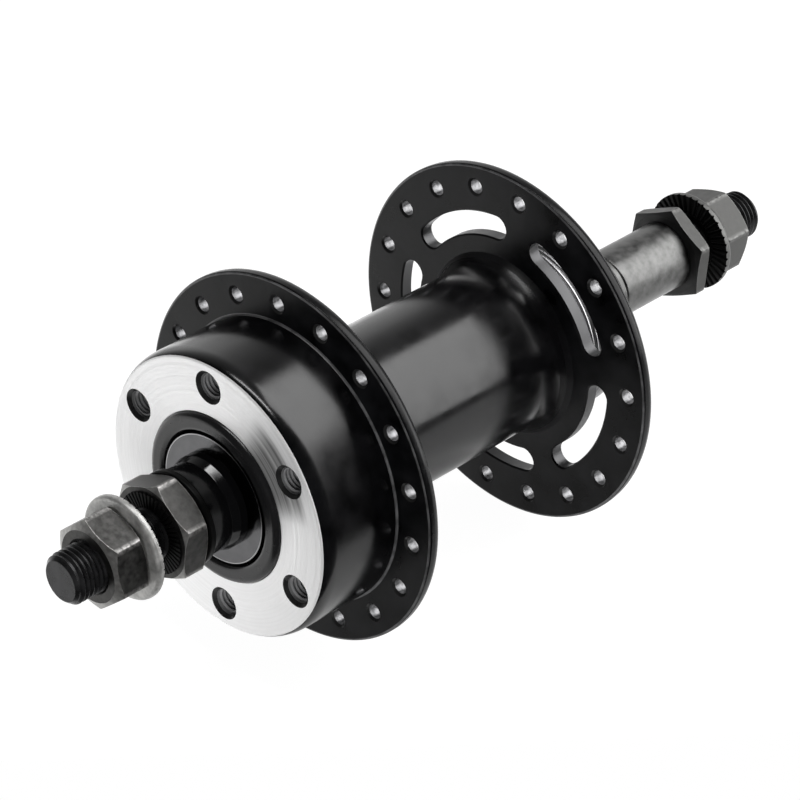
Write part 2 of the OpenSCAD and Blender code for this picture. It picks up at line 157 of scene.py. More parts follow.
def buildFloor():
    front, reach = studio["floorFront"] * mm, studio["floorReach"] * mm
    across = Vector((1, 1, 0)).normalized()
    height = Vector((0, 0, studio["floorHeight"] * mm))
    lean = studio["floorSlant"] * reach
    corners = [towardsWall * u + across * v + height for u, v in
               ((-front - lean, -reach), (-front + lean, reach), (reach, reach), (reach, -reach))]
    mesh = bpy.data.meshes.new("floor")
    mesh.from_pydata(corners, [], [(0, 1, 2, 3)])
    floor = addObject("floor", mesh)
    if mesh.polygons[0].normal.z < 0:
        mesh.flip_normals()
    paper = bpy.data.materials.new("floorPaper")
    paper.use_nodes = True
    tree = paper.node_tree
    tree.nodes.clear()
    sides = shaderNode(tree, "SeparateXYZ")
    link(tree, shaderNode(tree, "TexCoord").outputs["Object"], sides.inputs[0])
    others, glowForOthers = glowingPaper(tree, studio["floorWhite"])
    spread = [x * mm for x in studio["floorGlowFrom"]]
    # painted light: the floor glows for all rays but the camera's, strong towards -X and fading to almost
    # none towards +X
    link(tree, ranged(tree, sides.outputs["X"], spread, studio["floorGlow"], "SMOOTHSTEP"), glowForOthers)
    seen, glowForCamera = glowingPaper(tree, studio["cameraWhite"])
    glowForCamera.default_value = studio["cameraGlow"]
    splitByCamera(tree, others, seen, shaderNode(tree, "OutputMaterial"))
    mesh.materials.append(paper)


def buildWall():
    world = bpy.data.worlds.new("studioWall")
    bpy.context.scene.world = world
    world.use_nodes = True
    tree = world.node_tree
    tree.nodes.clear()
    facing = shaderNode(tree, "VectorMath", operation="DOT_PRODUCT")
    facing.inputs[1].default_value = towardsWall
    link(tree, shaderNode(tree, "TexCoord").outputs["Generated"], facing.inputs[0])
    bands = shaderNode(tree, "ValToRGB")
    link(tree, ranged(tree, facing.outputs["Value"], (-1, 1)), bands.inputs["Fac"])
    ramp = bands.color_ramp
    while len(ramp.elements) > 1:
        ramp.elements.remove(ramp.elements[-1])
    for index, (facingWall, level) in enumerate(studio["wallBands"]):
        position = (facingWall + 1) / 2
        stop = ramp.elements[0] if index == 0 else ramp.elements.new(position)
        stop.position = position
        stop.color = (level, level, level, 1)
    mirrored, seen = shaderNode(tree, "Background"), shaderNode(tree, "Background")
    link(tree, bands.outputs["Color"], mirrored.inputs["Color"])
    seen.inputs["Color"].default_value = (1, 1, 1, 1)
    splitByCamera(tree, mirrored.outputs[0], seen.outputs[0], shaderNode(tree, "OutputWorld"))


def buildSoftbox(name, box):
    light = bpy.data.lights.new(name, "AREA")
    light.shape = "RECTANGLE"
    light.size, light.size_y = box["long"] * mm, box["wide"] * mm
    light.energy = box["level"] * math.pi * light.size * light.size_y
    lamp = addObject(name, light)
    place = Vector(box["place"]) * mm
    facing = Vector(box["facing"]).normalized()
    along = Vector(box["along"])
    along = (along - facing * along.dot(facing)).normalized()
    across = facing.cross(along)
    turned = lamp.matrix_world.copy()
    for row in range(3):
        turned[row][0], turned[row][1] = along[row], across[row]
        turned[row][2], turned[row][3] = facing[row], place[row]
    lamp.matrix_world = turned
    lamp.visible_camera = False
    lamp.visible_glossy = box["mirrored"]


buildFloor()
buildWall()
for name, box in softboxes.items():
    buildSoftbox(name, box)
bpy.context.scene.view_settings.view_transform = "Standard"
print("studio lit")

finishes = {
    # what a finish leaves out has the defaults below
    "shellPaint": {"base": (0.003, 0.003, 0.0034), "rough": 0.19, "specular": 0.48,
                   "mottle": 0.6, "grain": 230, "uneven": (0.78, 1.24)},
    "flangePaint": {"base": (0.0036, 0.0036, 0.004), "rough": 0.30, "specular": 0.13,
                    "mottle": 0.9, "grain": 170},
    "turnedFace": {"metal": 0.45, "turned": 0.3, "markScale": 1700, "marks": (0.28, 0.48),
                   "shades": (0.87, 0.94),
                   # patch: a painted shade, darker streaks on the turned face beside one bolt hole
                   "patch": {"turn": 322.0, "spread": (28.0, 9.0), "radius": (24.2, 22.6),
                             "streakScale": 1100, "streakSpan": (0.35, 0.6), "strength": (0.5, 0.9),
                             "colour": (0.10, 0.10, 0.10)}},
    "bareAluminium": {"base": (0.46, 0.46, 0.465), "metal": 1.0, "rough": 0.34},
    "rimPaint": {"base": (0.003, 0.003, 0.0034), "rough": 0.24, "specular": 0.2},
    "edgeLine": {"base": (0.075, 0.075, 0.077), "metal": 0.3, "rough": 0.36, "mottle": 0.6, "grain": 420},
    "holeSink": {"base": (0.012, 0.012, 0.012), "rough": 0.3, "specular": 0.3},
    "holeWall": {"base": (0.24, 0.24, 0.243), "metal": 0.4, "rough": 0.42},
    "spokeHoleWall": {"base": (0.20, 0.20, 0.205), "metal": 1.0, "rough": 0.36, "mottle": 0.5, "grain": 1300},
    "slotWall": {"base": (0.085, 0.085, 0.087), "metal": 1.0, "rough": 0.4},
    "cupBlack": {"base": (0.009, 0.009, 0.0094), "rough": 0.24, "specular": 0.42},
    "shieldPlate": {"base": (0.105, 0.105, 0.108), "metal": 1.0, "rough": 0.16},
    # a painted highlight: the thin line of light round the shield's edge
    "shieldEdgeHighlight": {"base": (0.40, 0.40, 0.405), "metal": 1.0, "rough": 0.35},
    "sealRubber": {"base": (0.003, 0.003, 0.0034), "rough": 0.11, "specular": 0.42},
    "blackOxide": {"base": (0.024, 0.024, 0.025), "metal": 0.6, "rough": 0.28, "specular": 0.3,
                   "mottle": 0.5, "grain": 500},
    "nutDark": {"base": (0.066, 0.065, 0.063), "metal": 0.9, "rough": 0.40, "mottle": 0.45, "grain": 800,
                "relief": 0.35, "worn": (0.45, 0.44, 0.43)},
    "nutGrey": {"base": (0.067, 0.067, 0.065), "metal": 0.75, "rough": 0.45, "mottle": 0.2, "grain": 700,
                "relief": 0.35, "worn": (0.19, 0.19, 0.185)},
    "nutFace": {"base": (0.052, 0.051, 0.049), "metal": 0.9, "rough": 0.38, "mottle": 0.4, "grain": 900},
    # painted shade: near black for nut faces that lie in shadow
    "nutShade": {"base": (0.006, 0.006, 0.006), "rough": 0.4, "specular": 0.25},
    "nutWorn": {"base": (0.38, 0.376, 0.365), "metal": 0.85, "rough": 0.42, "mottle": 0.3, "grain": 1100},
    "nutGreyWorn": {"base": (0.125, 0.125, 0.122), "metal": 0.75, "rough": 0.45, "mottle": 0.2, "grain": 900},
    "serratedBlack": {"base": (0.003, 0.003, 0.003), "rough": 0.45, "specular": 0.12},
    "washerSilver": {"base": (0.48, 0.477, 0.465), "metal": 0.7, "rough": 0.45, "mottle": 0.35, "grain": 600},
    # painted shade: near black for washer faces that lie in shade
    "washerPaintedShade": {"base": (0.002, 0.002, 0.002), "rough": 0.34, "specular": 0.1},
    "zincPlate": {"base": (0.125, 0.125, 0.123), "metal": 1.0, "rough": 0.36, "mottle": 0.3, "grain": 620},
    "bearingSteel": {"base": (0.62, 0.62, 0.63), "metal": 1.0, "rough": 0.12},
}
finishDefaults = {"metal": 0.0, "specular": 0.5, "mottle": 0.1, "grain": 520, "relief": 0.12,
                  "pits": 1500, "pitDepth": 0.02, "uneven": (0.86, 1.18),  # pit depth in mm
                  "wearGrain": 1500, "wearSpan": (0.25, 0.68)}
noiseSpan = (0.3, 0.7)  # where most values of a noise lie


def noiseOn(tree, place, scale, detail=2, line=False):
    made = shaderNode(tree, "TexNoise", noise_dimensions="1D" if line else "3D")
    made.inputs["Scale"].default_value = scale
    made.inputs["Detail"].default_value = detail
    link(tree, place, made.inputs["W" if line else "Vector"])
    return made.outputs["Fac"]


def blended(tree, share, first, second):
    # a mix of two colours, each a socket or a plain colour
    made = shaderNode(tree, "Mix", data_type="RGBA")
    link(tree, share, made.inputs["Factor"])
    for key, colour in (("A", first), ("B", second)):
        if isinstance(colour, tuple):
            made.inputs[key].default_value = colour + (1,)
        else:
            link(tree, colour, made.inputs[key])
    return made.outputs["Result"]


def turnedLook(tree, shader, look, spot):
    # marks of the lathe tool round the axle, and a painted shade: a darker streaky patch beside one bolt
    # hole, in place of the dark reflection the turned face shows there
    flat = shaderNode(tree, "VectorMath", operation="MULTIPLY")
    flat.inputs[1].default_value = (1, 0, 1)
    link(tree, spot, flat.inputs[0])
    length = shaderNode(tree, "VectorMath", operation="LENGTH")
    link(tree, flat.outputs["Vector"], length.inputs[0])
    radius = length.outputs["Value"]
    marks = noiseOn(tree, radius, look["markScale"], line=True)
    link(tree, ranged(tree, marks, noiseSpan, look["marks"]), shader.inputs["Roughness"])
    dull, fresh = ((shade,) * 3 for shade in look["shades"])
    colour = blended(tree, ranged(tree, marks, noiseSpan), dull, fresh)
    # painted shade: the patch darkens the colour where the turned face would mirror dark surroundings
    patch = look["patch"]
    turn = math.radians(patch["turn"])
    outward = shaderNode(tree, "VectorMath", operation="NORMALIZE")
    link(tree, flat.outputs["Vector"], outward.inputs[0])
    towards = shaderNode(tree, "VectorMath", operation="DOT_PRODUCT")
    towards.inputs[1].default_value = (math.cos(turn), 0, -math.sin(turn))
    link(tree, outward.outputs["Vector"], towards.inputs[0])
    wide = [math.cos(math.radians(a)) for a in patch["spread"]]
    near = ranged(tree, towards.outputs["Value"], wide, curve="SMOOTHSTEP")
    inside = ranged(tree, radius, [r * mm for r in patch["radius"]], curve="SMOOTHSTEP")
    streaks = ranged(tree, noiseOn(tree, radius, patch["streakScale"], line=True),
                     patch["streakSpan"], patch["strength"])
    paintedShadeMask = mathNode(tree, "MULTIPLY", mathNode(tree, "MULTIPLY", near, inside), streaks)
    shader.inputs["Anisotropic"].default_value = look["turned"]
    around = shaderNode(tree, "Tangent", direction_type="RADIAL", axis="Y")
    link(tree, around.outputs["Tangent"], shader.inputs["Tangent"])
    return blended(tree, paintedShadeMask, colour, patch["colour"]), marks


def mottledLook(tree, shader, look, spot):
    # cloudy colour and shine, fine pits, and bare metal where the mesh says that an edge is worn
    cloud = ranged(tree, noiseOn(tree, spot, look["grain"], detail=3), noiseSpan)
    dark = tuple(c * (1 - look["mottle"]) for c in look["base"])
    light = tuple(min(c * (1 + look["mottle"]), 1) for c in look["base"])
    colour = blended(tree, cloud, dark, light)
    if "worn" in look:
        rub = shaderNode(tree, "Attribute", attribute_name="wear").outputs["Fac"]
        patchy = ranged(tree, noiseOn(tree, spot, look["wearGrain"]), look["wearSpan"])
        colour = blended(tree, mathNode(tree, "MULTIPLY", rub, patchy), colour, look["worn"])
    uneven = [look["rough"] * share for share in look["uneven"]]
    link(tree, ranged(tree, cloud, (0, 1), uneven), shader.inputs["Roughness"])
    return colour, noiseOn(tree, spot, look["pits"])


def makeFinish(name):
    look = dict(finishDefaults, **finishes[name])
    material = bpy.data.materials.new(name)
    material.use_nodes = True
    tree = material.node_tree
    shader = tree.nodes["Principled BSDF"]
    shader.inputs["Metallic"].default_value = look["metal"]
    shader.inputs["Specular IOR Level"].default_value = look["specular"]
    spot = shaderNode(tree, "TexCoord").outputs["Object"]
    dress = turnedLook if "turned" in look else mottledLook
    colour, height = dress(tree, shader, look, spot)
    bump = shaderNode(tree, "Bump")
    bump.inputs["Strength"].default_value = look["relief"]
    bump.inputs["Distance"].default_value = look["pitDepth"] * mm
    link(tree, height, bump.inputs["Height"])
    link(tree, bump.outputs["Normal"], shader.inputs["Normal"])
    link(tree, colour, shader.inputs["Base Color"])
    return material


paint = {name: makeFinish(name) for name in finishes}
print("finishes made:", len(paint))


def around(r, y, turn):
    a = math.radians(turn)
    return Vector((r * math.cos(a), y, -r * math.sin(a))) * mm


def softenCorners(corners, steps=4, support=0.06, everywhere=False):
    # corners: (r, y, rounding, finish of the line that starts here); gives (r, y, finish, wear).
    # A point on the line beside each rounding keeps the shading of that line flat.
    leastRoom, mostShare = support * 3, 0.25
    outline = []
    count = len(corners)
    for i, (r, y, rounding, tag) in enumerate(corners):
        here = Vector((r, y))
        before, after = Vector(corners[i - 1][:2]), Vector(corners[(i + 1) % count][:2])
        tagBefore = corners[i - 1][3]
        if rounding <= 0:
            outline.append((r, y, tag, 0.0))
            continue
        goIn, goOut = (before - here).normalized(), (after - here).normalized()
        opening = goIn.angle(goOut)
        reach = rounding / math.tan(opening / 2)
        centre = here + (goIn + goOut).normalized() * (rounding / math.sin(opening / 2))
        start, end = here + goIn * reach, here + goOut * reach
        roomIn, roomOut = (before - here).length - reach, (after - here).length - reach
        if everywhere or roomIn > leastRoom:
            point = start + goIn * min(support, roomIn * mostShare)
            outline.append((point.x, point.y, tagBefore, 0.0))
        armIn, armOut = start - centre, end - centre
        sweep = armIn.angle(armOut)
        for step in range(steps + 1):
            share = step / steps
            arm = (armIn * math.sin((1 - share) * sweep) + armOut * math.sin(share * sweep)) / math.sin(sweep)
            outline.append((centre.x + arm.x, centre.y + arm.y, tagBefore if step < steps / 2 else tag, 1.0))
        if everywhere or roomOut > leastRoom:
            point = end + goOut * min(support, roomOut * mostShare)
            outline.append((point.x, point.y, tag, 0.0))
    return outline


def arcLine(centreR, centreY, radius, fromTurn, toTurn, steps, tag):
    points = []
    for step in range(steps + 1):
        a = math.radians(fromTurn + (toTurn - fromTurn) * step / steps)
        points.append((centreR + radius * math.cos(a), centreY + radius * math.sin(a), 0, tag))
    return points


onAxis = 1e-6  # a radius in mm under which a ring of points is one point
samePlace = 1e-7  # m


def smoothed(name, mesh, sharp):
    mesh.shade_smooth()
    mesh.set_sharp_from_angle(angle=math.radians(sharp))
    return addObject(name, mesh)


def finishMesh(name, mesh, tags, sharp=32):
    for tag in tags:
        mesh.materials.append(paint[tag])
    shape = bmesh.new()
    shape.from_mesh(mesh)
    bmesh.ops.remove_doubles(shape, verts=shape.verts, dist=samePlace)
    bmesh.ops.recalc_face_normals(shape, faces=shape.faces)
    shape.to_mesh(mesh)
    shape.free()
    return smoothed(name, mesh, sharp)


def wornMesh(name, points, faces, slots, wear):
    mesh = bpy.data.meshes.new(name)
    mesh.from_pydata(points, [], faces)
    mesh.polygons.foreach_set("material_index", slots)
    mesh.attributes.new("wear", "FLOAT", "POINT").data.foreach_set("value", wear)
    return mesh


def turnOnLathe(name, corners, segments=96, sharp=32, steps=4):
    outline = softenCorners(corners, steps)
    tags = list(dict.fromkeys(point[2] for point in outline))
    rows = len(outline)
    points, wear, faces, slots, rings = [], [], [], [], []
    for r, y, tag, rub in outline:
        if r < onAxis:
            rings.append([len(points)] * segments)
            points.append(Vector((0, y * mm, 0)))
            wear.append(rub)
            continue
        rings.append(list(range(len(points), len(points) + segments)))
        for j in range(segments):
            points.append(around(r, y, 360 * j / segments))
            wear.append(rub)
    for i in range(rows):
        k = (i + 1) % rows
        if outline[i][0] < onAxis and outline[k][0] < onAxis:
            continue
        for j in range(segments):
            n = (j + 1) % segments
            ring = [rings[i][j], rings[k][j], rings[k][n], rings[i][n]]
            faces.append([v for index, v in enumerate(ring) if v != ring[index - 1]])
            slots.append(tags.index(outline[i][2]))
    return finishMesh(name, wornMesh(name, points, faces, slots, wear), tags, sharp)


def hexCorners(acrossFlats, rounding, flatSteps=12, cornerSteps=4):
    # (turn from the first corner, radius, wear) once round a hexagon with rounded corners
    half = acrossFlats / 2
    centre = (half - rounding) / math.cos(math.radians(30))
    edge = math.atan2(rounding * math.sin(math.radians(30)), centre + rounding * math.cos(math.radians(30)))
    edgeX = half * math.tan(math.radians(30 - math.degrees(edge)))
    ring = []
    for side in range(6):
        for step in range(cornerSteps + 1):
            lean = math.radians(-30 + 60 * step / cornerSteps)
            x, y = centre + rounding * math.cos(lean), rounding * math.sin(lean)
            ring.append((60 * side + math.degrees(math.atan2(y, x)), math.hypot(x, y), 1.0))
        for step in range(1, flatSteps):
            spot = edgeX * (1 - 2 * (step / flatSteps))
            ring.append((60 * side + 30 - math.degrees(math.atan2(spot, half)), math.hypot(spot, half), 0.0))
    return ring


# how a nut's edges are eased: the largest rounding, and its share of the chamfer beside it
hexEdges = {"rounding": 0.14, "faceShare": 0.6, "sideShare": 0.5, "mouthRounding": 0.04,
            "leastDrop": 0.02, "leastWidth": 0.03, "wearFrom": 1.0}  # mm, but for the shares


def turnHex(name, size, wearAndShadeEnds):
    # size: across flats, corner rounding, y of both ends, bore and its mouth, chamfer inset and slope,
    # turn of the first corner, finishes, and how far a serrated ring stands above an end
    ring = hexCorners(size["flats"], size["corner"])
    rim = size["flats"] / 2 - size["inset"]
    slope = math.tan(math.radians(size["slope"]))
    low, high, bore, mouth = (size[key] for key in ("low", "high", "bore", "mouth"))
    tag, wornTag, faceTag = (size[key] for key in ("tag", "wornTag", "faceTag"))
    stepLow, stepHigh = size.get("stepLow", 0), size.get("stepHigh", 0)
    tags = list(dict.fromkeys((tag, wornTag, faceTag)))
    lowTag, highTag = (wornTag if end in wearAndShadeEnds else tag for end in ("low", "high"))
    mouthRounding, wearFrom = hexEdges["mouthRounding"], bore + hexEdges["wearFrom"]
    leastDrop, leastWidth = hexEdges["leastDrop"], hexEdges["leastWidth"]

    def eased(room, share):
        return min(hexEdges["rounding"], room * hexEdges[share])

    points, wear = [], []
    rows = None
    for turn, r, rub in ring:
        dropLow = max((r - rim) * slope - stepLow, leastDrop)
        dropHigh = max((r - rim) * slope - stepHigh, leastDrop)
        rimLow = min(rim + stepLow / slope, r - leastWidth)
        rimHigh = min(rim + stepHigh / slope, r - leastWidth)
        outline = softenCorners([
            (bore, low + mouth, 0, tag), (bore + mouth, low, mouthRounding, faceTag),
            (rimLow, low, eased(r - rimLow, "faceShare"), lowTag),
            (r, low + dropLow, eased(dropLow, "sideShare"), tag),
            (r, high - dropHigh, eased(dropHigh, "sideShare"), highTag),
            (rimHigh, high, eased(r - rimHigh, "faceShare"), tag),
            (bore + mouth, high, mouthRounding, tag),
            (bore, high - mouth, 0, tag)], steps=3, support=0.1, everywhere=True)
        rowTags = [point[2] for point in outline]
        rows = rows or len(outline)
        if len(outline) != rows:
            raise ValueError(name + ": rows differ round the hexagon")
        for pointR, pointY, _, edgeRub in outline:
            points.append(around(pointR, pointY, turn + size["turn"]))
            wear.append(max(edgeRub if pointR > wearFrom else 0.0, rub if pointR > rim else 0.0))
    count = len(ring)
    faces, slots = [], []
    for j in range(count):
        n = (j + 1) % count
        for i in range(rows):
            k = (i + 1) % rows
            faces.append((j * rows + i, j * rows + k, n * rows + k, n * rows + i))
            slots.append(tags.index(rowTags[i]))
    return finishMesh(name, wornMesh(name, points, faces, slots, wear), tags, sharp=30)


def newTree(name, inputs):
    tree = bpy.data.node_groups.new(name, "GeometryNodeTree")
    tree.is_modifier = True
    for label, kind in inputs:
        tree.interface.new_socket(label, in_out="INPUT", socket_type="NodeSocket" + kind)
    tree.interface.new_socket("Geometry", in_out="OUTPUT", socket_type="NodeSocketGeometry")
    return tree


def runTree(name, tree, values, startMesh=None):
    # runs a tree on a mesh and gives a plain mesh back
    start = startMesh or bpy.data.meshes.new(name + "Start")
    holder = addObject(name, start)
    modifier = holder.modifiers.new("tree", "NODES")
    modifier.node_group = tree
    for item in tree.interface.items_tree:
        if item.in_out == "INPUT" and item.name in values:
            modifier[item.identifier] = values[item.name]
    reader = bpy.context.evaluated_depsgraph_get()
    made = bpy.data.meshes.new_from_object(holder.evaluated_get(reader), depsgraph=reader)
    holder.modifiers.clear()
    bpy.data.objects.remove(holder)
    made.name = name
    return made


def realized(tree, geometry):
    real = treeNode(tree, "GeometryNodeRealizeInstances")
    link(tree, geometry, real.inputs[0])
    return real.outputs[0]


def ringOf(tree, given):
    # copies of the given object, stood round the Y axis on a circle
    points = treeNode(tree, "GeometryNodePoints")
    link(tree, given.outputs["Count"], points.inputs["Count"])
    shape = treeNode(tree, "GeometryNodeObjectInfo")
    link(tree, given.outputs["Shape"], shape.inputs["Object"])
    index = treeNode(tree, "GeometryNodeInputIndex").outputs[0]
    share = mathNode(tree, "DIVIDE", index, given.outputs["Count"])
    turn = shaderNode(tree, "CombineXYZ")
    angle = mathNode(tree, "MULTIPLY_ADD", share, 2 * math.pi, given.outputs["First Turn"])
    link(tree, angle, turn.inputs["Y"])
    stand = treeNode(tree, "GeometryNodeInstanceOnPoints")
    link(tree, points.outputs[0], stand.inputs["Points"])
    link(tree, shape.outputs["Geometry"], stand.inputs["Instance"])
    link(tree, turn.outputs[0], stand.inputs["Rotation"])
    outward = shaderNode(tree, "CombineXYZ")
    link(tree, given.outputs["Circle Radius"], outward.inputs["X"])
    move = treeNode(tree, "GeometryNodeTranslateInstances")
    link(tree, stand.outputs[0], move.inputs["Instances"])
    link(tree, outward.outputs[0], move.inputs["Translation"])
    return realized(tree, move.outputs[0])


def coatAndEnd(tree, given, geometry, selection=None):
    coat = treeNode(tree, "GeometryNodeSetMaterial")
    link(tree, geometry, coat.inputs["Geometry"])
    link(tree, given.outputs["Finish"], coat.inputs["Material"])
    if selection:
        link(tree, selection, coat.inputs["Selection"])
    link(tree, coat.outputs[0], treeNode(tree, "NodeGroupOutput").inputs[0])
    return tree


ringInputs = (("Shape", "Object"), ("Count", "Int"), ("Circle Radius", "Float"), ("First Turn", "Float"),
              ("Finish", "Material"))


def makeDrillTree():
    tree = newTree("drilledRing", (("Geometry", "Geometry"),) + ringInputs)
    given = treeNode(tree, "NodeGroupInput")
    cut = treeNode(tree, "GeometryNodeMeshBoolean", operation="DIFFERENCE", solver="EXACT")
    link(tree, given.outputs["Geometry"], cut.inputs["Mesh 1"])
    link(tree, ringOf(tree, given), cut.inputs["Mesh 2"])
    pick = treeNode(tree, "GeometryNodeMaterialSelection")
    link(tree, given.outputs["Finish"], pick.inputs[0])
    return coatAndEnd(tree, given, realized(tree, cut.outputs["Mesh"]), pick.outputs[0])


def makeRingTree():
    tree = newTree("copiesInRing", ringInputs)
    given = treeNode(tree, "NodeGroupInput")
    return coatAndEnd(tree, given, ringOf(tree, given))


threadRun = {"pointsPerTurn": 48, "steepness": 1.6, "leastScale": 0.05}


def makeThreadTree():
    sizes = ("Core Radius", "Crest Height", "Root Width", "Crest Width", "Pitch", "Turns", "Start")
    tree = newTree("screwThread", tuple((size, "Float") for size in sizes) + (("Finish", "Material"),))
    given = treeNode(tree, "NodeGroupInput")
    helix = treeNode(tree, "GeometryNodeCurveSpiral")
    helix.inputs["Resolution"].default_value = threadRun["pointsPerTurn"]
    link(tree, given.outputs["Turns"], helix.inputs["Rotations"])
    link(tree, given.outputs["Core Radius"], helix.inputs["Start Radius"])
    link(tree, given.outputs["Core Radius"], helix.inputs["End Radius"])
    rise = mathNode(tree, "MULTIPLY", given.outputs["Pitch"], given.outputs["Turns"])
    link(tree, rise, helix.inputs["Height"])
    upright = treeNode(tree, "GeometryNodeSetCurveNormal", mode="Z_UP")
    link(tree, helix.outputs[0], upright.inputs[0])
    # the ridge grows out of the core over the first and last parts of the helix
    along = treeNode(tree, "GeometryNodeSplineParameter").outputs["Factor"]
    steep = mathNode(tree, "MULTIPLY", given.outputs["Turns"], threadRun["steepness"])
    fadeIn = mathNode(tree, "MULTIPLY", along, steep)
    fadeOut = mathNode(tree, "MULTIPLY", mathNode(tree, "SUBTRACT", 1, along), steep)
    fade = mathNode(tree, "MINIMUM", mathNode(tree, "MINIMUM", fadeIn, fadeOut), 1)
    # the ridge's profile stands with its foot on the helix
    ridge = treeNode(tree, "GeometryNodeCurvePrimitiveQuadrilateral", mode="TRAPEZOID")
    ridge.inputs["Offset"].default_value = 0
    link(tree, given.outputs["Crest Height"], ridge.inputs["Height"])
    link(tree, given.outputs["Root Width"], ridge.inputs["Bottom Width"])
    link(tree, given.outputs["Crest Width"], ridge.inputs["Top Width"])
    lift = shaderNode(tree, "CombineXYZ")
    link(tree, mathNode(tree, "MULTIPLY", given.outputs["Crest Height"], 0.5), lift.inputs["Y"])
    foot = treeNode(tree, "GeometryNodeTransform")
    link(tree, ridge.outputs[0], foot.inputs["Geometry"])
    link(tree, lift.outputs[0], foot.inputs["Translation"])
    outward = treeNode(tree, "GeometryNodeTransform")
    outward.inputs["Rotation"].default_value = (0, 0, math.pi / 2)
    link(tree, foot.outputs[0], outward.inputs["Geometry"])
    sweep = treeNode(tree, "GeometryNodeCurveToMesh")
    sweep.inputs["Fill Caps"].default_value = True
    link(tree, upright.outputs[0], sweep.inputs["Curve"])
    link(tree, outward.outputs[0], sweep.inputs["Profile Curve"])
    link(tree, mathNode(tree, "MAXIMUM", fade, threadRun["leastScale"]), sweep.inputs["Scale"])
    # the helix is laid along the axle
    shift = shaderNode(tree, "CombineXYZ")
    link(tree, given.outputs["Start"], shift.inputs["Y"])
    lay = treeNode(tree, "GeometryNodeTransform")
    lay.inputs["Rotation"].default_value = (-math.pi / 2, 0, 0)
    link(tree, sweep.outputs[0], lay.inputs["Geometry"])
    link(tree, shift.outputs[0], lay.inputs["Translation"])
    return coatAndEnd(tree, given, realized(tree, lay.outputs[0]))


drillTree = makeDrillTree()
ringTree = makeRingTree()
threadTree = makeThreadTree()
threadSharp = 40  # degrees


def cutRing(name, mesh, tags, rings, sharp=32):
    # rings: (cutter object, how many, circle radius in mm, first turn in degrees)
    for cutter, count, radius, turn in rings:
        before = mesh
        mesh = runTree(name, drillTree, {"Shape": cutter, "Count": count, "Circle Radius": radius * mm,
                                         "First Turn": math.radians(turn), "Finish": paint[tags[0]]}, before)
        bpy.data.meshes.remove(before)
        bpy.data.objects.remove(cutter)
    return smoothed(name, mesh, sharp)


def bareMesh(obj):
    mesh = obj.data
    bpy.data.objects.remove(obj)
    return mesh


def threadPiece(name, thread, low, high, tag):
    mesh = runTree(name, threadTree, {
        "Core Radius": thread["core"] * mm, "Crest Height": thread["height"] * mm,
        "Root Width": thread["root"] * mm, "Crest Width": thread["crest"] * mm,
        "Pitch": thread["pitch"] * mm, "Turns": (high - low) / thread["pitch"],
        "Start": low * mm, "Finish": paint[tag]})
    return smoothed(name, mesh, threadSharp)


def place(obj, body, slotName, *nodes):
    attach(obj, body)
    if nodes:
        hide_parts(*nodes)
    return obj


def ends(node):
    # where a piece of the frame starts and stops along the axle, in mm
    low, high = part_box(node)
    return low.y / mm, high.y / mm


shellLow, shellHigh = ends("hub_shell")

shell = {
    "lipRadius": 16.3, "lipSink": 0.3, "lipRounding": 0.08,
    "pocketRadius": 14.2, "pocketDepth": 9.64, "bore": 11.0,
    "drumRadius": 27.2, "drumEdge": (1.15, 2.9), "drumSteps": 12, "silverSteps": 3, "drumFoot": 0.36,
    "flangeRadius": 35.25, "flangeThick": 2.8, "flangeEdge": 0.5, "flangeBack": 1.6, "edgeSteps": 6,
    "leftFlange": 17.0, "rightFlange": 74.2,  # from the rotor face
    "barrelRadius": 16.0, "flareRadius": 18.0, "flareLength": 6.0, "flareSteps": 10,
    "flareTail": (5, 3),  # the right flare's last points with the rim's and the flange's paint
    "seatCore": 16.86, "seatChamfer": 0.2,
    "seatStep": (0.3, 1.2, 1.5),  # its height, and how far from the flange its slope starts and ends
}
rotorHoles = {"count": 6, "circle": 22.0, "turn": 27.0, "radius": 2.5, "sink": 3.15, "depth": 11.0}
spokeHoles = {"count": 18, "circle": 30.875, "turn": 6.4, "radius": 1.4, "sink": 1.8}
slotHoles = {"count": 5, "inner": 21.5, "width": 4.5, "angle": 57.5, "turn": 26.2, "bevel": 0.28}


def drillCutter(name, radius, sink, low, high, blind, tag):
    # a hole with a countersink at its low end, and at its high end too if it goes right through
    over, tip = 1.0, radius * 0.5
    rise = sink - radius
    dark = "holeSink"
    corners = [(0, low - over, 0, dark), (sink + over, low - over, 0, dark), (radius, low + rise, 0, tag)]
    if blind:
        corners += [(radius, high, 0, tag), (0, high + tip, 0, tag)]
    else:
        corners += [(radius, high - rise, 0, dark), (sink + over, high + over, 0, dark),
                    (0, high + over, 0, dark)]
    return turnOnLathe(name, corners, segments=32)


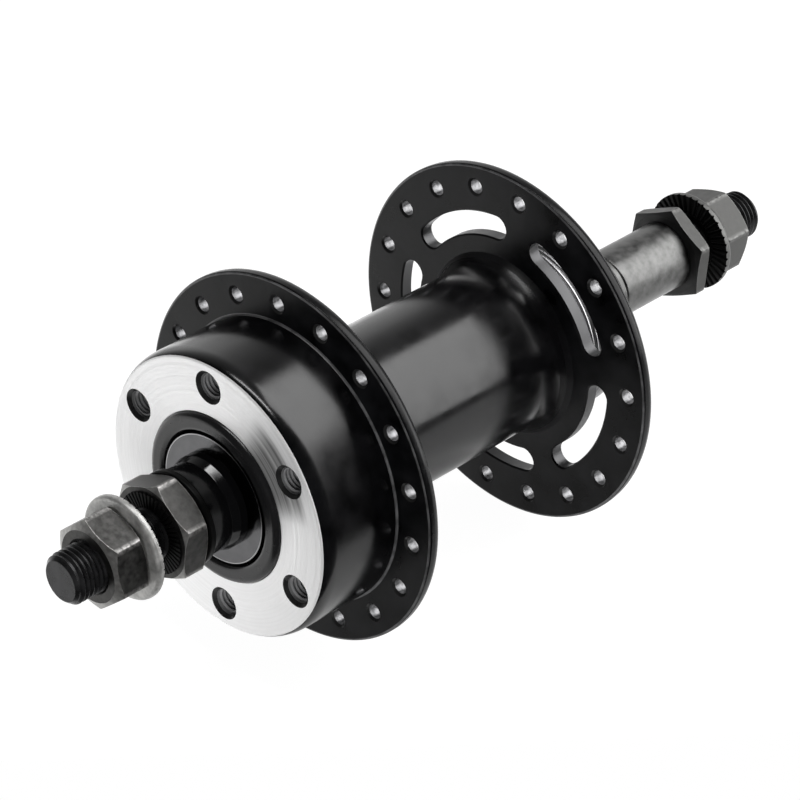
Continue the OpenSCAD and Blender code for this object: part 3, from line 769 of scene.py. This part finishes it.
def slotCutter(name, low, high):
    # a kidney slot along its circle, wider at both mouths by the bevel
    half = slotHoles["width"] / 2
    mid = slotHoles["inner"] + half
    reach = math.radians(slotHoles["angle"] / 2) - math.asin(half / mid)
    bevel, over = slotHoles["bevel"], 0.6
    steps, capSteps = 20, 10
    # once round the slot: the angle along its circle, and the way out from its middle line
    ringPlan = []
    for side in (1, -1):
        for step in range(steps + 1):
            ringPlan.append((side * (-reach + 2 * reach * step / steps), side, 0.0))
        for step in range(1, capSteps):
            a = math.pi * step / capSteps
            ringPlan.append((side * reach, side * math.cos(a), side * math.sin(a)))
    levels = ((low - over, half + bevel + over), (low + bevel, half), (high - bevel, half),
              (high + over, half + bevel + over))
    points = []
    for y, wide in levels:
        for angle, outward, sideways in ringPlan:
            x, z = mid + wide * outward, wide * sideways
            turnedX = x * math.cos(angle) - z * math.sin(angle)
            turnedZ = x * math.sin(angle) + z * math.cos(angle)
            points.append(Vector((turnedX, y, -turnedZ)) * mm)
    count = len(ringPlan)
    lastLevel = len(levels) - 1
    faces = [tuple(range(count)), tuple(range(lastLevel * count, len(levels) * count))]
    for level in range(lastLevel):
        lower, upper = level * count, (level + 1) * count
        for j in range(count):
            k = (j + 1) % count
            faces.append((lower + j, lower + k, upper + k, upper + j))
    mesh = bpy.data.meshes.new(name)
    mesh.from_pydata(points, [], faces)
    # the two ends, then the rows: bevel, straight wall, bevel
    mesh.polygons.foreach_set("material_index", [0, 0] + [1] * count + [0] * count + [1] * count)
    return finishMesh(name, mesh, ["slotWall", "flangePaint"])


def retagged(points, first, tag):
    # the same points, with another finish from one of them on
    return points[:first] + [point[:3] + (tag,) for point in points[first:]]


def flangeLip(y):
    # the rounded front edge of a flange, the half beside the face in a lighter finish
    r, edge, steps = shell["flangeRadius"], shell["flangeEdge"], shell["edgeSteps"]
    lip = arcLine(r - edge, y + edge, edge, -90, 0, steps, "edgeLine")
    return retagged(lip, steps // 2, "rimPaint")


def shellOutline(left, leftIn, rightIn, right):
    # once round the half section: the rotor side, the barrel, the freewheel side
    face, end = shellLow, shellHigh
    bore, pocket, deep = shell["bore"], shell["pocketRadius"], shell["pocketDepth"]
    lip, sink = shell["lipRadius"], shell["lipSink"]
    drum, foot = shell["drumRadius"], shell["drumFoot"]
    flange, flangeBack = shell["flangeRadius"], shell["flangeBack"]
    seat, chamfer = shell["seatCore"], shell["seatChamfer"]
    black, flangeBlack, silver, bare = "shellPaint", "flangePaint", "turnedFace", "bareAluminium"
    corners = [
        (bore, face + deep, 0, bare), (pocket, face + deep, 0, bare), (pocket, face + sink, 0, bare),
        (lip, face + sink, 0, silver), (lip, face, shell["lipRounding"], silver)]
    edge, edgeDepth = shell["drumEdge"]
    for step in range(shell["drumSteps"] + 1):
        a = math.radians(90 * step / shell["drumSteps"])
        corners.append((drum - edge * (1 - math.sin(a)), face + edgeDepth * (1 - math.cos(a)), 0,
                        silver if step < shell["silverSteps"] else black))
    drumFoot = arcLine(drum + foot, left - foot, foot, 180, 90, shell["edgeSteps"], "edgeLine")
    corners += retagged(drumFoot, -1, flangeBlack)
    corners += flangeLip(left) + [(flange, leftIn, flangeBack, flangeBlack)]
    rise, run, steps = shell["flareRadius"] - shell["barrelRadius"], shell["flareLength"], shell["flareSteps"]
    flare = (run ** 2 + rise ** 2) / (2 * rise)
    sweep = math.degrees(math.asin(run / flare))
    centre = shell["barrelRadius"] + flare
    corners += arcLine(centre, leftIn + run, flare, 180 + sweep, 180, steps, black)
    rightFlare = arcLine(centre, rightIn - run, flare, 180, 180 - sweep, steps, black)
    rimPoints, flangePoints = shell["flareTail"]
    corners += retagged(retagged(rightFlare, -rimPoints, "rimPaint"), -flangePoints, flangeBlack)
    corners += flangeLip(rightIn)
    stepHeight, slopeStart, slopeStop = shell["seatStep"]
    return corners + [
        (flange, right, flangeBack, flangeBlack),
        (seat + stepHeight, right, 0, bare), (seat + stepHeight, right + slopeStart, 0, bare),
        (seat, right + slopeStop, 0, bare), (seat, end - chamfer, 0, bare), (seat - chamfer, end, 0, bare),
        (lip, end, 0, bare), (lip, end - sink, 0, bare), (pocket, end - sink, 0, bare),
        (pocket, end - deep, 0, bare), (bore, end - deep, 0, bare)]


def drillRing(name, holes, low, high, tag, blind=False, shift=0.0):
    cutter = drillCutter(name, holes["radius"], holes["sink"], low, high, blind, tag)
    return cutter, holes["count"], holes["circle"], holes["turn"] + shift


def buildShell():
    left, right = shellLow + shell["leftFlange"], shellLow + shell["rightFlange"]
    leftIn, rightIn = left + shell["flangeThick"], right - shell["flangeThick"]
    corners = shellOutline(left, leftIn, rightIn, right)
    blank = turnOnLathe("hubBlank", corners, segments=192, sharp=28, steps=5)
    tags = [material.name for material in blank.data.materials]
    halfPitch = 180 / spokeHoles["count"]
    rings = [
        drillRing("rotorDrill", rotorHoles, shellLow, shellLow + rotorHoles["depth"], "holeWall", blind=True),
        drillRing("leftSpokeDrill", spokeHoles, left, leftIn, "spokeHoleWall"),
        drillRing("rightSpokeDrill", spokeHoles, rightIn, right, "spokeHoleWall", shift=halfPitch),
        (slotCutter("slotMill", rightIn, right), slotHoles["count"], 0.0, slotHoles["turn"])]
    drilled = cutRing("hub_shell_turned", bareMesh(blank), tags, rings, sharp=28)
    return place(drilled, "shell", "shell_black", "hub_shell")


hubShell = buildShell()
print("hub shell turned and drilled:", len(hubShell.data.polygons), "faces")

# places along the axle: from the rotor face, and short of the shell's end
freewheelThread = {"core": 16.84, "height": 0.56, "root": 0.98, "crest": 0.16, "pitch": inch / 24,
                   "from": 75.9, "short": 0.9}
place(threadPiece("freewheel_thread", freewheelThread, shellLow + freewheelThread["from"],
                  shellHigh - freewheelThread["short"], "bareAluminium"), "shell", "shell_black")
print("freewheel thread cut")

# Internal threads: the ridge is wide where it is buried in the wall of the hole
rotorThread = {"core": 2.12, "height": 0.46, "root": 0.14, "crest": 0.66, "pitch": 0.8,
               "from": 0.95, "to": 8.9}


def buildRotorThreads():
    one = threadPiece("rotor_thread_one", rotorThread, shellLow + rotorThread["from"],
                      shellLow + rotorThread["to"], "holeWall")
    mesh = runTree("rotor_threads", ringTree, {
        "Shape": one, "Count": rotorHoles["count"], "Circle Radius": rotorHoles["circle"] * mm,
        "First Turn": math.radians(rotorHoles["turn"]), "Finish": paint["holeWall"]})
    bpy.data.meshes.remove(bareMesh(one))
    place(smoothed("rotor_threads", mesh, threadSharp), "shell", "shell_black")


buildRotorThreads()
print("rotor bolt threads cut")


def outwardAt(side, u):
    # y of a place u mm outside the shell's end face on that side
    return shellLow - u if side == "left" else shellHigh + u


cup = {"lipRadius": 16.25, "lip": 1.0, "lipSink": 0.3, "mouth": 12.845, "bodyRadius": 14.19,
       "depth": 9.625, "hole": 9.8, "ballDepth": 5.0, "raceCircle": 9.62, "race": 3.225, "raceSweep": 86,
       "raceSteps": 12, "lipRounding": 1.2, "mouthRounding": 0.8, "backRounding": 0.4, "holeRounding": 0.2}
shield = {"radius": 12.355, "hole": 7.42, "face": 0.7, "thick": 0.8, "rim": 1.6, "bright": 0.26,
          "faceRounding": 0.16, "rimRounding": 0.1}
boot = {"bore": 7.42, "foot": 8.9, "waist": 8.32, "low": 0.7, "coneLow": 2.4, "coneHigh": 3.84, "end": 8.1,
        "endRounding": 0.15, "coneRounding": 0.25}


def buildBearing(side):
    def at(points):
        return [(r, outwardAt(side, u), rounding, tag) for r, u, rounding, tag in points]

    black, grey, rubber = "cupBlack", "shieldPlate", "sealRubber"
    race = arcLine(cup["raceCircle"], -cup["ballDepth"], cup["race"], 0, -cup["raceSweep"],
                   cup["raceSteps"], "bearingSteel")
    ring = turnOnLathe(side + "_cup_turned", at([
        (cup["hole"], -cup["depth"], cup["holeRounding"], black),
        (cup["bodyRadius"], -cup["depth"], cup["backRounding"], black),
        (cup["bodyRadius"], -cup["lipSink"], 0, black), (cup["lipRadius"], -cup["lipSink"], 0, black),
        (cup["lipRadius"], cup["lip"], cup["lipRounding"], black),
        (cup["mouth"], cup["lip"], cup["mouthRounding"], black),
        *race, (cup["hole"], race[-1][1], 0, black)]), segments=144, sharp=30)
    place(ring, "shell", "blackened_steel", side + "_bearing_cup")
    hole, radius, face = shield["hole"], shield["radius"], shield["face"]
    back, rim, rounding = face - shield["thick"], face - shield["rim"], shield["rimRounding"]
    plate = turnOnLathe(side + "_shield_pressed", at([
        (hole, back, 0, grey), (hole, face, 0, grey),
        # painted highlight: a lighter strip round the edge of the shield's face stands in for a thin line of
        # light
        (radius - shield["bright"], face, 0, "shieldEdgeHighlight"), (radius, face, shield["faceRounding"], grey),
        (radius, rim, rounding, grey), (radius - shield["thick"], rim, rounding, grey),
        (radius - shield["thick"], back, 0, grey)]), segments=128, sharp=30)
    place(plate, "axle_assembly", "shield_grey", side + "_dust_shield")
    atEnd, atCone = boot["endRounding"], boot["coneRounding"]
    sleeve = turnOnLathe(side + "_boot_moulded", at([
        (boot["bore"], boot["low"], 0, rubber), (boot["foot"], boot["low"], atEnd, rubber),
        (boot["foot"], boot["coneLow"], atCone, rubber), (boot["waist"], boot["coneHigh"], atCone, rubber),
        (boot["waist"], boot["end"], atEnd, rubber), (boot["bore"], boot["end"], 0, rubber)]),
        segments=112, sharp=40)
    place(sleeve, "axle_assembly", "seal_rubber", side + "_seal")


sides = ("left", "right")
for side in sides:
    buildBearing(side)
    for piece in ("_cone", "_balls"):
        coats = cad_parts[side + piece].data.materials
        coats.clear()
        coats.append(paint["bearingSteel"])
print("bearings, shields and boots made")

# Washers and spacers that stay put on the axle
lockWasher = {"radius": 9.0, "bore": 4.8, "edge": 0.3, "slot": "blackened_steel"}
spacer = {"radius": 6.7, "bore": 4.8, "edge": 0.35, "finish": "zincPlate"}
stack = {
    # painted shade: the left lock washer is near black for the shade behind the locknut
    "left_lock_washer": dict(lockWasher, finish="washerPaintedShade"),
    "right_lock_washer": dict(lockWasher, finish="blackOxide"),
    "right_short_spacer": dict(spacer, slot="nut_dark"),
    "right_long_spacer": dict(spacer, slot="zinc_plate"),
}
for node, ring in stack.items():
    low, high = ends(node)
    tag = ring["finish"]
    piece = turnOnLathe(node + "_turned", [
        (ring["bore"], low, 0, tag), (ring["radius"], low, ring["edge"], tag),
        (ring["radius"], high, ring["edge"], tag), (ring["bore"], high, 0, tag)])
    place(piece, "axle_assembly", ring["slot"], node)
print("washers and spacers made")

axleBar = {"core": 4.26, "waist": 4.4, "leftThread": -40.7, "rightThread": 22.7,
           "tipInset": 0.45, "tipLength": 0.5, "tipRounding": 0.2, "waistSlope": 0.4}
axleThread = {"core": 4.24, "height": 0.52, "root": 0.92, "crest": 0.13, "pitch": inch / 26, "short": 0.45}


def buildAxle():
    low, high = ends("axle")
    tag, body, slot = "blackOxide", "axle_assembly", "blackened_steel"
    core, waist, slope = axleBar["core"], axleBar["waist"], axleBar["waistSlope"]
    leftThread, rightThread = axleBar["leftThread"], axleBar["rightThread"]
    tip, tipLength, rounding = core - axleBar["tipInset"], axleBar["tipLength"], axleBar["tipRounding"]
    bar = turnOnLathe("axle_bar", [
        (0, low, 0, tag), (tip, low, rounding, tag), (core, low + tipLength, 0, tag),
        (core, leftThread, 0, tag), (waist, leftThread + slope, 0, tag),
        (waist, rightThread - slope, 0, tag), (core, rightThread, 0, tag),
        (core, high - tipLength, 0, tag), (tip, high, rounding, tag), (0, high, 0, tag)])
    place(bar, body, slot, "axle")
    short = axleThread["short"]
    for side, start, stop in (("left", low + short, leftThread), ("right", rightThread, high - short)):
        place(threadPiece(side + "_axle_thread", axleThread, start, stop, tag), body, slot)


buildAxle()
print("axle and its threads made")

# the left end of the hub is worn and the right end is plain grey
axleNut = {
    "flats": 15.0, "corner": 0.35, "bore": 4.8, "mouth": 0.42, "slope": 28.0,
    "left": {"turn": 19.7, "inset": 0.75, "tag": "nutDark", "wornTag": "nutWorn", "faceTag": "nutFace"},
    "right": {"turn": 43.3, "inset": 0.4, "tag": "nutGrey", "wornTag": "nutGreyWorn",
              "faceTag": "nutGreyWorn"},
}
nutSlots = {"left": "nut_dark", "right": "nut_grey"}
for side in sides:
    low, high = ends(side + "_axle_nut")
    nut = turnHex(side + "_nut_forged", dict(axleNut, **axleNut[side], low=low, high=high), ("low", "high"))
    place(nut, side + "_nut", nutSlots[side], side + "_axle_nut")

lockNut = {
    "flats": 17.0, "corner": 0.35, "bore": 4.8, "mouth": 0.42, "inset": 0.4,
    "left": {"turn": 37.7, "slope": 28.0, "tag": "nutDark", "wornTag": "nutWorn", "faceTag": "nutFace"},
    # painted shade: the right locknut's near face and the chamfer beside it are near black, standing in for
    # the shadow on them
    "right": {"turn": 35.1, "slope": 17.0, "tag": "nutGrey", "wornTag": "nutShade", "faceTag": "nutShade"},
}
serration = {"radius": 7.7, "bore": 4.82, "rise": 0.3, "root": 0.9, "count": 48, "width": 0.42, "depth": 0.35,
             "start": 4.0, "end": 9.0, "turn": 3.0, "rounding": 0.05}


def grooveCutter(name, groove, face, outward):
    # a V-shaped bar lying along X, its ridge down in the face; outward is the way the face looks along Y
    depth, over = groove["depth"], 0.25
    half = groove["width"] / 2 * (depth + over) / depth
    points = []
    for x in (groove["start"], groove["end"]):
        points += [Vector((x, face + outward * over, z)) * mm for z in (-half, half)]
        points.append(Vector((x, face - outward * depth, 0)) * mm)
    mesh = bpy.data.meshes.new(name)
    mesh.from_pydata(points, [], [(0, 1, 2), (3, 4, 5), (0, 1, 4, 3), (1, 2, 5, 4), (2, 0, 3, 5)])
    return finishMesh(name, mesh, ["serratedBlack"])


def buildLocknut(side):
    low, high = ends(side + "_locknut")
    rise, rounding, tag = serration["rise"], serration["rounding"], "serratedBlack"
    if side == "left":
        sign, face, body = -1, low, {"low": low + rise, "high": high, "stepLow": rise}
    else:
        sign, face, body = 1, high, {"low": low, "high": high - rise, "stepHigh": rise}
    nut = turnHex(side + "_locknut_forged", dict(lockNut, **lockNut[side], **body), ("low",))
    place(nut, "axle_assembly", nutSlots[side], side + "_locknut")
    root = face - sign * serration["root"]
    ring = turnOnLathe(side + "_serratedBlank", [
        (serration["bore"], root, 0, tag), (serration["radius"], root, 0, tag),
        (serration["radius"], face, rounding, tag), (serration["bore"], face, rounding, tag)], segments=112)
    cutter = grooveCutter("serrationCutter", serration, face, sign)
    teeth = cutRing(side + "_locknut_teeth", bareMesh(ring), [tag],
                    [(cutter, serration["count"], 0.0, serration["turn"])], sharp=20)
    place(teeth, "axle_assembly", nutSlots[side])


for side in sides:
    buildLocknut(side)
print("nuts made")

toothWasher = {
    "radius": 9.7, "bore": 5.0, "edge": 0.7, "plainRounding": 0.15, "toothedRounding": 0.1,
    "count": 40, "width": 0.75, "depth": 0.5, "start": 6.0, "end": 10.7,
    "left": {"tag": "washerSilver", "rimTag": "washerSilver", "toothEdge": 0.5, "slot": "zinc_plate"},
    "right": {"tag": "washerPaintedShade", "rimTag": "nutGreyWorn", "toothEdge": 0.15, "slot": "blackened_steel"},
}


def buildToothWasher(side):
    low, high = ends(side + "_axle_washer")
    plain, toothed, sign = (low, high, 1) if side == "left" else (high, low, -1)
    # painted shade: the toothed face, and on the right the whole washer but its rim, are near black for the
    # shade they lie in
    size, look, dark = toothWasher, toothWasher[side], "washerPaintedShade"
    blank = turnOnLathe(side + "_washerBlank", [
        (size["bore"], plain, size["plainRounding"], look["tag"]),
        (size["radius"], plain, size["edge"], look["rimTag"]),
        (size["radius"], toothed, look["toothEdge"], dark),
        (size["bore"], toothed, size["toothedRounding"], dark)], segments=120)
    cutter = grooveCutter("washerCutter", size, toothed, sign)
    washer = cutRing(side + "_washer_toothed", bareMesh(blank), [look["tag"]],
                     [(cutter, size["count"], 0.0, 0.0)], sharp=24)
    place(washer, side + "_washer", look["slot"], side + "_axle_washer")


for side in sides:
    buildToothWasher(side)
print("toothed washers made")
